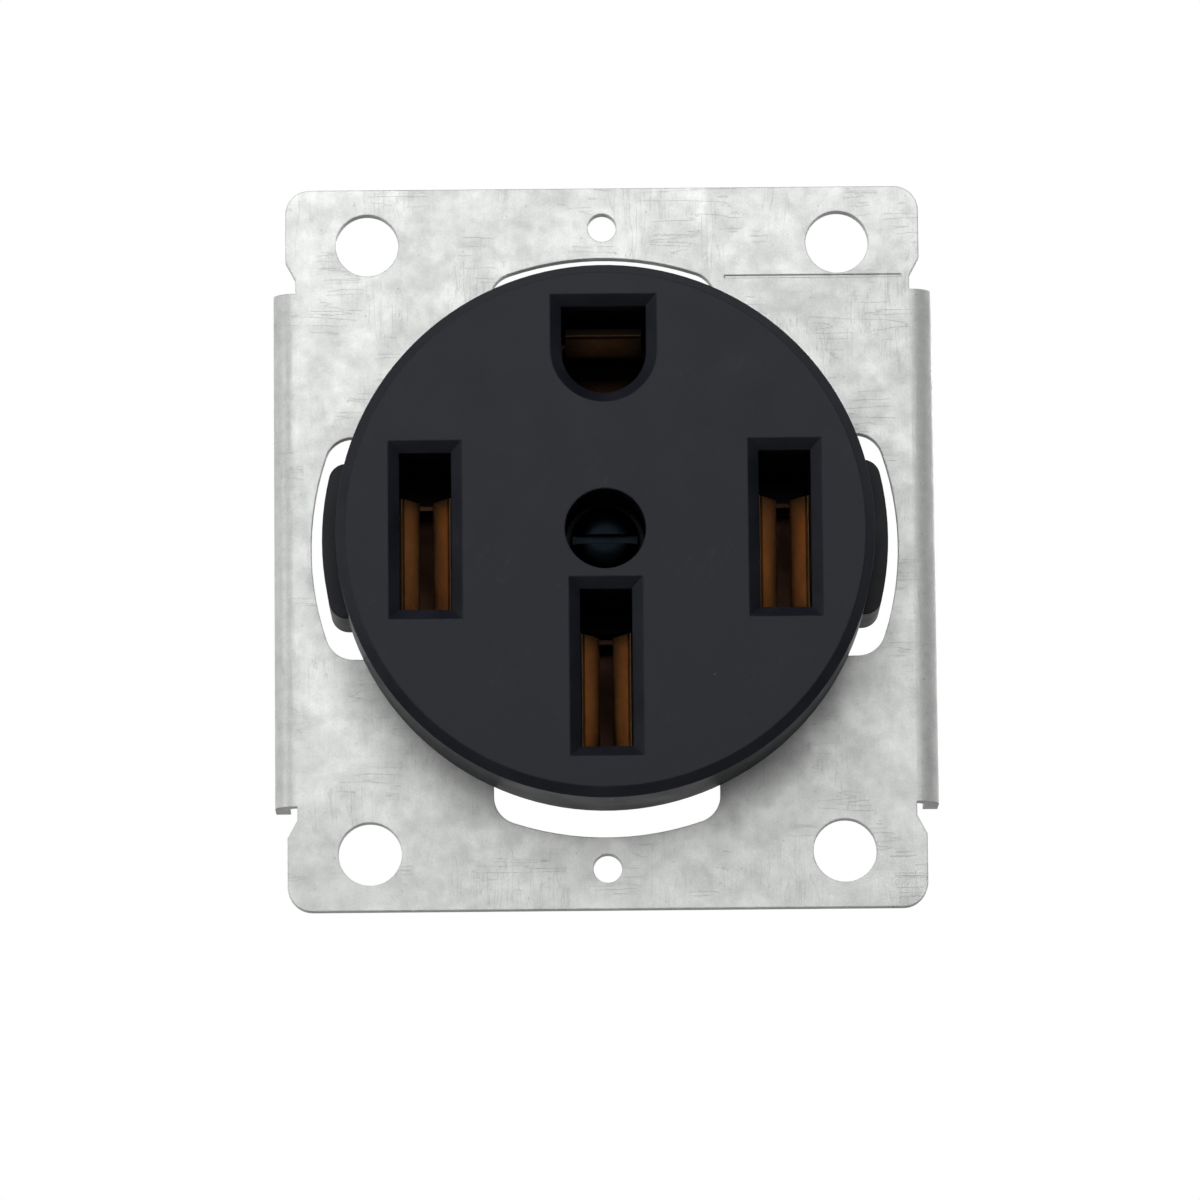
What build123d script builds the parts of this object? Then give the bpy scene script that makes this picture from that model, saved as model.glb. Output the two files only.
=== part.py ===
from build123d import *
import os

# A round four-wire flush receptacle on its mounting strap, as it sits in a wall.
# X runs to the right and Z up, seen from the front. The face looks along -Y.
# The origin is the middle of the strap's back face, which lies on the box or wall.

# Mounting strap, one piece of bent sheet
strap_thickness = 1.5
strap_height = 73.9
lobe_width = 64.4
lobe_corner_radius = 2.5
flange_span = 67.0
flange_length = 52.6
flange_depth = 6.0
bend_inner_radius = 0.8
relief_gap = 1.4
relief_slant = 1.85
corner_hole_diameter = 6.4
corner_hole_spacing = 47.8
corner_hole_edge_distance = 5.75
plate_screw_hole_diameter = 2.9
plate_screw_edge_distance = 4.1
side_window_radius = 29.7
end_window_edge_distance = 7.25
window_width = 22.8
window_corner_radius = 2.8
gauge_line_length = 18.0
gauge_line_start = 12.4
gauge_line_edge_distance = 9.25
gauge_line_width = 0.3
gauge_line_depth = 0.15

# Face cover, a moulding in front of the strap
cover_diameter = 54.0
cover_height = 11.0
cover_edge_bevel = 0.95
front_wall = 5.0
centre_hole_diameter = 8.1
centre_hole_floor = 2.0
lug_window_gap = 1.2
lug_end_gap = 3.5
lug_reach_front = 4.5
lug_reach_back = 3.0
lug_corner_radius = 1.8

# Openings in the face
line_slot_offset = 18.0
neutral_slot_offset = 13.9
ground_slot_offset = 18.35
blade_slot_width = 5.2
blade_slot_height = 15.9
ground_slot_width = 8.5
ground_slot_height = 8.8
slot_bevel = 1.1

# Contacts, folded from strip, a little below the middle of their openings
contact_drop = 1.8
contact_thickness = 0.9
blade_grip_gap = 1.2
blade_leaf_width = 11.8
ground_grip_gap = 4.4
ground_leaf_width = 7.7
lead_flare = 1.75
leaf_belly = 1.25
lead_length = 3.2
belly_length = 5.3
leaf_back_length = 5.5
leaf_bend_radius = 1.0
tip_clearance = 0.5
tail_width = 8.2
line_tail_offset = 12.5
inner_tail_offset = 8.2
tail_bend_radius = 0.8
tail_overhang = 0.6

# Steel clips that back the contact leaves
spring_thickness = 0.5
spring_length = 3.8
spring_clearance = 0.05
spring_end_clearance = 0.2
spring_open_end = 1.0

# Rear housing, a moulding behind the strap
boss_radius = 24.8
boss_clearance = 0.3
collar_radius = 25.0
collar_square = 41.0
collar_square_radius = 5.0
collar_depth = 8.0
lug_clearance = 0.35
pocket_clearance = 0.4
pocket_end_clearance = 0.35
pocket_floor = 2.55
bay_depth = 14.0
bay_wall = 1.85
bay_clearance = 0.25
bay_lip = 0.65
housing_edge_bevel = 0.8
housing_rear_bevel = 0.5

# Box clamps and their pressure screws
clamp_length = 10.0
clamp_inner_wall = 1.5
clamp_outer_wall = 2.2
clamp_side_wall = 1.3
clamp_bore = 6.8
clamp_edge_bevel = 0.5
tail_side_clearance = 0.1
tail_slot_clearance = 0.15
pressure_screw_diameter = 6.0
pressure_screw_length = 5.5
pressure_screw_intrusion = 1.0
pressure_screw_slot_width = 1.2
pressure_screw_slot_depth = 1.4
thread_clearance = 0.05

# Centre screw with its square nut, and the four assembly screws
centre_screw_diameter = 4.0
centre_screw_head_diameter = 7.0
centre_screw_head_height = 2.6
centre_screw_projection = 0.2
nut_width = 7.0
nut_height = 3.2
nut_clearance = 0.15
nut_recess = 0.4
assembly_screw_spacing = 30.4
assembly_screw_diameter = 2.8
assembly_screw_length = 15.0
assembly_screw_head_diameter = 5.8
assembly_screw_head_height = 2.0
screw_hole_clearance = 0.2
screw_slot_width = 0.9
screw_slot_depth = 1.0
pilot_hole_extra_depth = 0.8

# Strip that bonds the ground contact to the strap
bonding_thickness = 0.8
bonding_width = 6.0
bonding_end_margin = 4.1
bonding_clearance = 0.2

# Places along the depth, worked out from the sizes above
strap_front_y = -strap_thickness
face_y = strap_front_y - cover_height
front_wall_y = face_y + front_wall
leaf_tip_y = front_wall_y + tip_clearance
grip_y = leaf_tip_y + lead_length
belly_y = grip_y + belly_length
leaf_base_y = belly_y + leaf_back_length
pocket_floor_y = leaf_base_y + contact_thickness / 2
bay_floor_y = pocket_floor_y + pocket_floor
housing_rear_y = bay_floor_y + bay_depth
clamp_end_y = bay_floor_y + clamp_length
tail_end_y = clamp_end_y + tail_overhang
spring_front_y = belly_y + spring_end_clearance
centre_seat_y = strap_front_y - centre_hole_floor
nut_seat_y = housing_rear_y - nut_recess - nut_height

# Shared radii, half sizes and places across the face
cover_radius = cover_diameter / 2
strap_opening_radius = boss_radius + boss_clearance
end_window_radius = strap_height / 2 - end_window_edge_distance
lug_radius = side_window_radius - lug_window_gap
lug_height = window_width - 2 * lug_end_gap
lug_inner_radius = collar_radius + lug_clearance
bend_line_x = flange_span / 2 - bend_inner_radius - strap_thickness
clamp_width = tail_width + 2 * (tail_side_clearance + clamp_side_wall)
clamp_radial = clamp_inner_wall + clamp_bore + clamp_outer_wall
screw_projection = pressure_screw_length - clamp_outer_wall - pressure_screw_intrusion
bay_half_width = clamp_width / 2 + bay_clearance
arm_width = 2 * (bay_half_width + bay_wall)
bonding_bend_radius = bonding_thickness / 2 + bonding_clearance
bonding_height = assembly_screw_spacing / 2
bonding_end_x = assembly_screw_spacing / 2 + bonding_end_margin
bonding_leg_x = (tail_width + bonding_thickness) / 2

right_direction = Vector(1, 0, 0)
back_direction = Vector(0, 1, 0)
up_direction = Vector(0, 0, 1)


def depth_plane(y):
    """Plane across the depth axis at y, its normal to the front, local x to the right."""
    return Plane(origin=(0, y, 0), x_dir=(1, 0, 0), z_dir=(0, -1, 0))


class Pole:
    """One of the four poles: where its opening, contact, tail and clamp lie along its own direction."""

    def __init__(self, direction, gap_direction, opening, places, form):
        opening_offset, tail_offset = places
        grip_gap, leaf_width = form
        self.direction = direction
        self.gap_direction = gap_direction
        self.opening = opening
        self.opening_offset = opening_offset
        self.tail_offset = tail_offset
        self.leaf_width = leaf_width
        self.contact_centre = direction * opening_offset - up_direction * contact_drop
        self.contact_offset = self.contact_centre.dot(direction)
        self.grip_offset = (grip_gap + contact_thickness) / 2
        self.belly_offset = self.grip_offset + leaf_belly
        self.tip_offset = self.grip_offset + lead_flare
        self.spring_inner = self.belly_offset + contact_thickness / 2 + spring_clearance
        self.spring_end = leaf_width / 2 + spring_end_clearance + spring_thickness
        self.pocket_size = (
            2 * (self.spring_inner + spring_thickness + pocket_clearance),
            2 * (self.spring_end + pocket_end_clearance),
        )
        self.clamp_inner = tail_offset - contact_thickness / 2 - clamp_inner_wall
        self.clamp_outer = self.clamp_inner + clamp_radial
        self.arm_reach = self.clamp_outer + screw_projection + bay_lip

    def side_plane(self):
        """Local x outward along the pole's direction, local y to the back."""
        return Plane(origin=(0, 0, 0), x_dir=self.direction, z_dir=self.direction.cross(back_direction))

    def cross_plane(self, y):
        """Across the depth at y: local x outward along the pole's direction, normal to the front."""
        return Plane(origin=(0, y, 0), x_dir=self.direction, z_dir=-back_direction)

    def opening_plane(self, y):
        """Across the depth at y, upright, its origin on the axis of the pole's opening."""
        centre = self.direction * self.opening_offset + back_direction * y
        return Plane(origin=centre, x_dir=right_direction, z_dir=-back_direction)

    def leaf_side_plane(self):
        """Local x across the gap between the leaves, local y to the back, origin on the contact's axis."""
        side_normal = self.gap_direction.cross(back_direction)
        return Plane(origin=self.contact_centre, x_dir=self.gap_direction, z_dir=side_normal)

    def leaf_cross_plane(self, y):
        """Across the depth at y: local x across the gap, origin on the contact's own axis."""
        centre = self.contact_centre + back_direction * y
        return Plane(origin=centre, x_dir=self.gap_direction, z_dir=-back_direction)


# Openings in outline: an upright slot for a flat blade, and a D that is flat above and round below
with BuildSketch(Plane.XY) as blade_opening:
    Rectangle(blade_slot_width, blade_slot_height)

with BuildSketch(Plane.XY) as ground_opening:
    d_half_width = ground_slot_width / 2
    d_top = ground_slot_height / 2
    d_bottom = -ground_slot_height / 2
    d_knee = d_bottom + d_half_width
    with BuildLine():
        Polyline(
            (d_half_width, d_knee),
            (d_half_width, d_top),
            (-d_half_width, d_top),
            (-d_half_width, d_knee),
        )
        ThreePointArc((-d_half_width, d_knee), (0, d_bottom), (d_half_width, d_knee))
    make_face()

# Grip and leaf width for a blade and for the pin, and how far out each opening and tail lies
blade_form = (blade_grip_gap, blade_leaf_width)
ground_form = (ground_grip_gap, ground_leaf_width)
line_places = (line_slot_offset, line_tail_offset)
neutral_places = (neutral_slot_offset, inner_tail_offset)
ground_places = (ground_slot_offset, inner_tail_offset)

line_right = Pole(right_direction, right_direction, blade_opening, line_places, blade_form)
line_left = Pole(-right_direction, right_direction, blade_opening, line_places, blade_form)
neutral = Pole(-up_direction, right_direction, blade_opening, neutral_places, blade_form)
ground = Pole(up_direction, up_direction, ground_opening, ground_places, ground_form)
poles = [line_right, line_left, neutral, ground]


def save(piece, name):
    """Label a finished piece and write it as its own file."""
    piece.part.label = name
    export_step(piece.part, f"parts/{name}.step")


def assembly_points():
    """The four places of the assembly screws."""
    return GridLocations(assembly_screw_spacing, assembly_screw_spacing, 2, 2)


os.makedirs("parts", exist_ok=True)

# Mounting strap: stamped plate, then the side flanges bent back, then windows and holes
shoulder_z = flange_length / 2 + relief_gap
lobe_foot_z = shoulder_z + relief_slant

with BuildPart() as mounting_strap:
    with BuildSketch(depth_plane(0)) as strap_outline:
        with BuildLine():
            Polyline(
                (0, strap_height / 2),
                (lobe_width / 2, strap_height / 2),
                (lobe_width / 2, lobe_foot_z),
                (bend_line_x, shoulder_z),
                (bend_line_x, 0),
                (0, 0),
                close=True,
            )
        make_face()
        fillet(strap_outline.vertices().group_by(Axis.Y)[-1].sort_by(Axis.X)[-1], lobe_corner_radius)
        mirror(about=Plane.YZ)
        mirror(about=Plane.XZ)
    extrude(amount=strap_thickness)

    # One flange in section, bent back from the plate's side edge
    with BuildSketch(Plane.XY.offset(-flange_length / 2)) as flange_section:
        outer_radius = bend_inner_radius + strap_thickness
        bend_y = bend_inner_radius
        with BuildLine():
            outer_bend = CenterArc((bend_line_x, bend_y), outer_radius, 270, 90)
            inner_bend = CenterArc((bend_line_x, bend_y), bend_inner_radius, 270, 90)
            Line(outer_bend @ 0, inner_bend @ 0)
            flange_end_y = flange_depth - strap_thickness
            Polyline(
                outer_bend @ 1,
                (bend_line_x + outer_radius, flange_end_y),
                (bend_line_x + bend_inner_radius, flange_end_y),
                inner_bend @ 1,
            )
        make_face()
    right_flange = extrude(amount=flange_length)
    mirror(right_flange, about=Plane.YZ)

    # Arc windows above and below and on both sides, each with rounded outer corners
    end_windows = (window_width, 2 * end_window_radius, end_window_radius)
    side_windows = (2 * side_window_radius, window_width, side_window_radius)
    for width, height, reach in (end_windows, side_windows):
        with BuildSketch(depth_plane(0)) as windows:
            Rectangle(width, height)
            Circle(reach, mode=Mode.INTERSECT)
            fillet(windows.vertices(), window_corner_radius)
        extrude(amount=strap_thickness, mode=Mode.SUBTRACT)

    # The round opening that takes the housing's boss, and the screw holes
    corner_hole_height = strap_height - 2 * corner_hole_edge_distance
    plate_screw_z = strap_height / 2 - plate_screw_edge_distance
    with BuildSketch(depth_plane(0)):
        Circle(strap_opening_radius)
        with GridLocations(corner_hole_spacing, corner_hole_height, 2, 2):
            Circle(corner_hole_diameter / 2)
        with Locations((0, plate_screw_z), (0, -plate_screw_z)):
            Circle(plate_screw_hole_diameter / 2)
    extrude(amount=strap_thickness, mode=Mode.SUBTRACT)

    # Scored gauge line below the upper right corner hole
    gauge_line_x = gauge_line_start + gauge_line_length / 2
    gauge_line_z = strap_height / 2 - gauge_line_edge_distance
    with BuildSketch(depth_plane(strap_front_y + gauge_line_depth)):
        with Locations((gauge_line_x, gauge_line_z)):
            Rectangle(gauge_line_length, gauge_line_width)
    extrude(amount=gauge_line_depth, mode=Mode.SUBTRACT)

save(mounting_strap, "mounting_strap")

# Face cover: a round block with bevelled openings in front and contact pockets behind
with BuildPart() as face_cover:
    # Side lugs, which reach through the strap's left and right windows
    with BuildSketch(depth_plane(lug_reach_back)) as lugs:
        Circle(lug_radius)
        Rectangle(2 * lug_radius, lug_height, mode=Mode.INTERSECT)
        fillet(lugs.vertices(), lug_corner_radius)
        Circle(lug_inner_radius, mode=Mode.SUBTRACT)
    extrude(amount=lug_reach_back + strap_thickness + lug_reach_front)

    # The round block, bevelled round its face
    with BuildSketch(depth_plane(strap_front_y)):
        Circle(cover_radius)
    extrude(amount=cover_height)
    chamfer(face_cover.edges().group_by(Axis.Y)[0], cover_edge_bevel)

    # One opening for each pole, right through, with a wider pocket round its contact
    for pole in poles:
        with BuildSketch(pole.opening_plane(strap_front_y)):
            add(pole.opening.sketch)
        extrude(amount=cover_height, mode=Mode.SUBTRACT)
        with BuildSketch(pole.leaf_cross_plane(strap_front_y)):
            Rectangle(*pole.pocket_size)
        extrude(amount=strap_front_y - front_wall_y, mode=Mode.SUBTRACT)

    # Bevels round the mouths
    chamfer(face_cover.faces().sort_by(Axis.Y)[0].inner_wires().edges(), slot_bevel)

    # Centre hole with a floor that the screw head seats on
    with BuildSketch(depth_plane(centre_seat_y)):
        Circle(centre_hole_diameter / 2)
    extrude(amount=centre_seat_y - face_y, mode=Mode.SUBTRACT)
    with BuildSketch(depth_plane(strap_front_y)):
        Circle(centre_screw_diameter / 2 + screw_hole_clearance)
    extrude(amount=centre_hole_floor, mode=Mode.SUBTRACT)

    # Pilot holes for the assembly screws
    with BuildSketch(depth_plane(strap_front_y)):
        with assembly_points():
            Circle(assembly_screw_diameter / 2 + thread_clearance)
    pilot_depth = assembly_screw_length - collar_depth - strap_thickness + pilot_hole_extra_depth
    extrude(amount=pilot_depth, mode=Mode.SUBTRACT)

save(face_cover, "face_cover")

# Rear housing: boss and collar against the strap, a cross of terminal bays behind
with BuildPart() as rear_housing:
    with BuildSketch(depth_plane(collar_depth)):
        Circle(collar_radius)
        RectangleRounded(collar_square, collar_square, collar_square_radius)
    extrude(amount=collar_depth)
    with BuildSketch(depth_plane(0)):
        Circle(boss_radius)
    extrude(amount=strap_thickness)

    # Four arms, each as long as its clamp and screw need
    with BuildSketch(depth_plane(housing_rear_y)) as arms:
        Rectangle(2 * line_right.arm_reach, arm_width)
        Rectangle(arm_width, 2 * ground.arm_reach)
        chamfer(arms.vertices(), housing_edge_bevel)
    extrude(amount=housing_rear_y - collar_depth)
    chamfer(rear_housing.edges().group_by(Axis.Y)[-1], housing_rear_bevel)

    # Terminal bays, open to the back and to the side
    for pole in poles:
        bay_start = pole.clamp_inner - bay_clearance
        bay_end = pole.arm_reach + housing_edge_bevel
        with BuildSketch(pole.cross_plane(housing_rear_y)):
            with Locations(((bay_start + bay_end) / 2, 0)):
                Rectangle(bay_end - bay_start, 2 * bay_half_width)
        extrude(amount=bay_depth, mode=Mode.SUBTRACT)

    # Pockets from the front for each contact and for the tip of the blade or pin that enters it
    pocket_depth = pocket_floor_y - strap_front_y
    for pole in poles:
        with BuildSketch(pole.leaf_cross_plane(pocket_floor_y)):
            Rectangle(*pole.pocket_size)
        extrude(amount=pocket_depth, mode=Mode.SUBTRACT)
        with BuildSketch(pole.opening_plane(pocket_floor_y)):
            add(pole.opening.sketch)
        extrude(amount=pocket_depth, mode=Mode.SUBTRACT)

        # Room for the contact's base plate, and a slot in the floor for its tail
        tail_start = pole.tail_offset - contact_thickness / 2 - pocket_clearance
        tail_root = pole.contact_offset + pocket_clearance
        with BuildSketch(pole.cross_plane(pocket_floor_y)):
            with Locations(((tail_start + tail_root) / 2, 0)):
                Rectangle(tail_root - tail_start, tail_width + 2 * pocket_clearance)
        extrude(amount=pocket_depth, mode=Mode.SUBTRACT)
        with BuildSketch(pole.cross_plane(bay_floor_y)):
            with Locations((pole.tail_offset + tail_bend_radius / 2, 0)):
                Rectangle(
                    contact_thickness + tail_bend_radius + 2 * tail_slot_clearance,
                    tail_width + 2 * tail_slot_clearance,
                )
        extrude(amount=pocket_floor, mode=Mode.SUBTRACT)

    # Centre screw hole and the square recess of its nut
    with BuildSketch(depth_plane(housing_rear_y)):
        Circle(centre_screw_diameter / 2 + screw_hole_clearance)
    extrude(amount=housing_rear_y - strap_front_y, mode=Mode.SUBTRACT)
    with BuildSketch(depth_plane(housing_rear_y)):
        Rectangle(nut_width + 2 * nut_clearance, nut_width + 2 * nut_clearance)
    extrude(amount=housing_rear_y - nut_seat_y, mode=Mode.SUBTRACT)

    # Clearance holes for the assembly screws
    with BuildSketch(depth_plane(collar_depth)):
        with assembly_points():
            Circle(assembly_screw_diameter / 2 + screw_hole_clearance)
    extrude(amount=collar_depth + strap_thickness, mode=Mode.SUBTRACT)

    # Recess of the bonding strip, with a well beside the ground contact
    recess_start_x = bonding_leg_x - bonding_thickness / 2 - bonding_clearance
    recess_end_x = bonding_end_x + bonding_clearance
    recess_width = bonding_width + 2 * bonding_clearance
    with BuildSketch(depth_plane(bonding_thickness)):
        with Locations(((recess_start_x + recess_end_x) / 2, bonding_height)):
            Rectangle(recess_end_x - recess_start_x, recess_width)
    extrude(amount=bonding_thickness - strap_front_y, mode=Mode.SUBTRACT)
    with BuildSketch(depth_plane(pocket_floor_y)):
        with Locations((bonding_leg_x, bonding_height)):
            Rectangle(bonding_thickness + 2 * bonding_clearance, recess_width)
    extrude(amount=pocket_depth, mode=Mode.SUBTRACT)

save(rear_housing, "rear_housing")


def make_contact(pole):
    """Two leaves folded from one strip, with a base plate and a tail into the clamp."""
    tip = pole.tip_offset
    grip = pole.grip_offset
    belly = pole.belly_offset
    side = pole.leaf_side_plane()
    with BuildPart() as contact:
        with BuildLine(side) as leaf_path:
            FilletPolyline(
                (tip, leaf_tip_y),
                (grip, grip_y),
                (belly, belly_y),
                (belly, leaf_base_y),
                (-belly, leaf_base_y),
                (-belly, belly_y),
                (-grip, grip_y),
                (-tip, leaf_tip_y),
                radius=leaf_bend_radius,
            )
        leaf_line = leaf_path.wires()[0]
        with BuildSketch(Plane(origin=leaf_line @ 0, x_dir=side.z_dir, z_dir=leaf_line % 0)):
            Rectangle(pole.leaf_width, contact_thickness)
        sweep(path=leaf_line)

        with BuildLine(pole.side_plane()) as tail_path:
            FilletPolyline(
                (pole.contact_offset, leaf_base_y),
                (pole.tail_offset, leaf_base_y),
                (pole.tail_offset, tail_end_y),
                radius=tail_bend_radius,
            )
        tail_line = tail_path.wires()[0]
        with BuildSketch(Plane(origin=tail_line @ 0, x_dir=pole.side_plane().z_dir, z_dir=tail_line % 0)):
            Rectangle(tail_width, contact_thickness)
        sweep(path=tail_line)
    return contact


def make_spring(pole):
    """A steel saddle over the leaves, closed at one end of their width."""
    inner = pole.spring_inner
    outer = inner + spring_thickness
    closed_end = pole.spring_end
    inner_end = closed_end - spring_thickness
    open_end = spring_open_end - pole.leaf_width / 2
    with BuildPart() as spring:
        with BuildSketch(pole.leaf_cross_plane(spring_front_y + spring_length)) as saddle:
            with Locations((0, (closed_end + open_end) / 2)):
                Rectangle(2 * outer, closed_end - open_end)
            chamfer(saddle.vertices().group_by(Axis.Y)[-1], spring_thickness)
            with Locations((0, (inner_end + open_end) / 2)):
                Rectangle(2 * inner, inner_end - open_end, mode=Mode.SUBTRACT)
        extrude(amount=spring_length)
    return spring


def make_clamp(pole):
    """A box clamp round the tail, with a tapped hole in its outer wall."""
    with BuildPart() as clamp:
        with BuildSketch(pole.cross_plane(clamp_end_y)) as box_section:
            with Locations(((pole.clamp_inner + pole.clamp_outer) / 2, 0)):
                Rectangle(clamp_radial, clamp_width)
            chamfer(box_section.vertices(), clamp_edge_bevel)
            with Locations((pole.clamp_inner + clamp_inner_wall + clamp_bore / 2, 0)):
                Rectangle(clamp_bore, clamp_width - 2 * clamp_side_wall, mode=Mode.SUBTRACT)
        extrude(amount=clamp_length)
        with BuildSketch(screw_plane(pole, pole.clamp_outer - clamp_outer_wall)):
            Circle(pressure_screw_diameter / 2 + thread_clearance)
        extrude(amount=clamp_outer_wall, mode=Mode.SUBTRACT)
    return clamp


def screw_plane(pole, offset):
    """Across the pressure screw's axis at this distance along the pole's direction."""
    centre = pole.direction * offset + back_direction * (bay_floor_y + clamp_length / 2)
    return Plane(origin=centre, x_dir=back_direction, z_dir=pole.direction)


def make_pressure_screw(pole):
    """A headless screw, slotted at its outer end."""
    outer_end = pole.clamp_outer + screw_projection
    with BuildPart() as screw:
        with BuildSketch(screw_plane(pole, outer_end - pressure_screw_length)):
            Circle(pressure_screw_diameter / 2)
        extrude(amount=pressure_screw_length)
        with BuildSketch(screw_plane(pole, outer_end - pressure_screw_slot_depth)):
            Rectangle(pressure_screw_diameter, pressure_screw_slot_width)
        extrude(amount=pressure_screw_slot_depth, mode=Mode.SUBTRACT)
    return screw


pole_names = {
    "line_{}_right": line_right,
    "line_{}_left": line_left,
    "neutral_{}": neutral,
    "ground_{}": ground,
}
for name_form, pole in pole_names.items():
    save(make_contact(pole), name_form.format("contact"))
    save(make_spring(pole), name_form.format("spring"))
    save(make_clamp(pole), name_form.format("clamp"))
    save(make_pressure_screw(pole), name_form.format("screw"))

# Centre screw, its head seated on the floor of the centre hole
with BuildPart() as centre_screw:
    with BuildSketch(depth_plane(centre_seat_y)):
        Circle(centre_screw_head_diameter / 2)
    extrude(amount=centre_screw_head_height)
    with BuildSketch(depth_plane(centre_seat_y - centre_screw_head_height + screw_slot_depth)):
        Rectangle(centre_screw_head_diameter, screw_slot_width)
    extrude(amount=screw_slot_depth, mode=Mode.SUBTRACT)
    centre_screw_end_y = nut_seat_y + nut_height + centre_screw_projection
    with BuildSketch(depth_plane(centre_screw_end_y)):
        Circle(centre_screw_diameter / 2)
    extrude(amount=centre_screw_end_y - centre_seat_y)

save(centre_screw, "centre_screw")

# Square nut in the recess at the back of the housing
with BuildPart() as centre_nut:
    with BuildSketch(depth_plane(nut_seat_y + nut_height)):
        Rectangle(nut_width, nut_width)
        Circle(centre_screw_diameter / 2 + thread_clearance, mode=Mode.SUBTRACT)
    extrude(amount=nut_height)

save(centre_nut, "centre_nut")

# Four assembly screws, their heads on the back of the collar
with BuildPart() as assembly_screws:
    with BuildSketch(depth_plane(collar_depth)):
        with assembly_points():
            Circle(assembly_screw_diameter / 2)
    extrude(amount=assembly_screw_length)
    head_back_y = collar_depth + assembly_screw_head_height
    with BuildSketch(depth_plane(head_back_y)):
        with assembly_points():
            Circle(assembly_screw_head_diameter / 2)
    extrude(amount=assembly_screw_head_height)
    with BuildSketch(depth_plane(head_back_y)):
        with assembly_points():
            Rectangle(assembly_screw_head_diameter, screw_slot_width)
    extrude(amount=screw_slot_depth, mode=Mode.SUBTRACT)

save(assembly_screws, "assembly_screws")

# Bonding strip: flat under the strap, then down beside the ground contact's base plate
with BuildPart() as bonding_strip:
    with BuildLine(Plane.XY.offset(bonding_height)) as strip_path:
        FilletPolyline(
            (bonding_end_x, bonding_thickness / 2),
            (bonding_leg_x, bonding_thickness / 2),
            (bonding_leg_x, leaf_base_y),
            radius=bonding_bend_radius,
        )
    strip_line = strip_path.wires()[0]
    with BuildSketch(Plane(origin=strip_line @ 0, x_dir=(0, 0, 1), z_dir=strip_line % 0)):
        Rectangle(bonding_width, bonding_thickness)
    sweep(path=strip_line)
    with BuildSketch(depth_plane(bonding_thickness)):
        with assembly_points():
            Circle(assembly_screw_diameter / 2 + screw_hole_clearance)
    extrude(amount=bonding_thickness, mode=Mode.SUBTRACT)

save(bonding_strip, "bonding_strip")
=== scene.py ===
# %% [markdown]
# A round flush receptacle on its zinc-coated steel strap, dressed for a picture.
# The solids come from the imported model, so this script adds only what a camera sees: the finish of
# each surface, the cut threads of the screws, the light and the camera. Everything is in metres.

# %% The frame
import math

import bmesh
import bpy
from mathutils import Matrix, Vector


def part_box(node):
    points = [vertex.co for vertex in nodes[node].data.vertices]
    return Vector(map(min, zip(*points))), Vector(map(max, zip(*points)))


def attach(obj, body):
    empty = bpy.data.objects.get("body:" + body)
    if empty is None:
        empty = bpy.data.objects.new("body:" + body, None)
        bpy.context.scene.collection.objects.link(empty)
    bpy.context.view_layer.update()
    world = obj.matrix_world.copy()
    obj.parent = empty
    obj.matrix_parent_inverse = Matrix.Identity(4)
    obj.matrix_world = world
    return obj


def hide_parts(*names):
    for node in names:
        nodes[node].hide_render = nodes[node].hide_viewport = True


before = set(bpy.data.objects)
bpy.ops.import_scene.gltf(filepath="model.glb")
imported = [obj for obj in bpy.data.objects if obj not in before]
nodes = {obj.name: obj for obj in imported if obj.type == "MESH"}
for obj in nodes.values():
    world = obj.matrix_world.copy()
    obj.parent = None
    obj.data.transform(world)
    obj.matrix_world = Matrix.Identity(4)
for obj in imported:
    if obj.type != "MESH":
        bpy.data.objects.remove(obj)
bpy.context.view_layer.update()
print("pieces in the frame:", len(nodes))

# %% [markdown]
# Every finish is a small graph of shader nodes. A few helpers keep those graphs short: they add a
# node with its inputs, do one step of arithmetic, mix two colours, and start or place a node group.
# A group is the way to share one effect, such as a rounded edge, between several materials that
# each give it their own values.

# %% Helpers for shader nodes
# The Mix node has sockets for each kind of data. These are the ones for colours.
MIX_FACTOR, MIX_FIRST, MIX_SECOND, MIX_RESULT = 0, 6, 7, 2


def feed(tree, socket, value):
    """Link another node's output to a socket, or set the socket to a plain value."""
    if isinstance(value, bpy.types.NodeSocket):
        tree.links.new(value, socket)
    else:
        socket.default_value = value


def add(tree, kind, inputs=None, **settings):
    """Add a shader node with these inputs and settings."""
    made = tree.nodes.new("ShaderNode" + kind)
    for name, value in settings.items():
        setattr(made, name, value)
    for name, value in (inputs or {}).items():
        feed(tree, made.inputs[name], value)
    return made


def object_point(tree):
    """The point on the surface in the object's own coordinates, in metres."""
    return add(tree, "TexCoord").outputs["Object"]


def start_group(name, inputs, outputs):
    """Start a node group with these sockets and return the tree with its two end nodes."""
    tree = bpy.data.node_groups.new(name, "ShaderNodeTree")
    for label, (kind, value) in inputs.items():
        socket = tree.interface.new_socket(name=label, in_out="INPUT", socket_type="NodeSocket" + kind)
        socket.default_value = value
    for label, kind in outputs.items():
        tree.interface.new_socket(name=label, in_out="OUTPUT", socket_type="NodeSocket" + kind)
    return tree, tree.nodes.new("NodeGroupInput"), tree.nodes.new("NodeGroupOutput")


def finish_group(tree, end, **results):
    """Join the group's results to its outputs. Underscores in a name stand for spaces."""
    for label, socket in results.items():
        tree.links.new(socket, end.inputs[label.replace("_", " ")])
    return tree


def place(tree, group, **inputs):
    """Place a group in a material with its own values."""
    made = tree.nodes.new("ShaderNodeGroup")
    made.node_tree = group
    for label, value in inputs.items():
        feed(tree, made.inputs[label.replace("_", " ")], value)
    return made


def math_node(tree, operation, first, second=0.0, clamp=False):
    """One math step on two numbers or sockets."""
    made = add(tree, "Math", operation=operation, use_clamp=clamp)
    for socket, value in zip(made.inputs, (first, second)):
        feed(tree, socket, value)
    return made.outputs[0]


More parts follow.
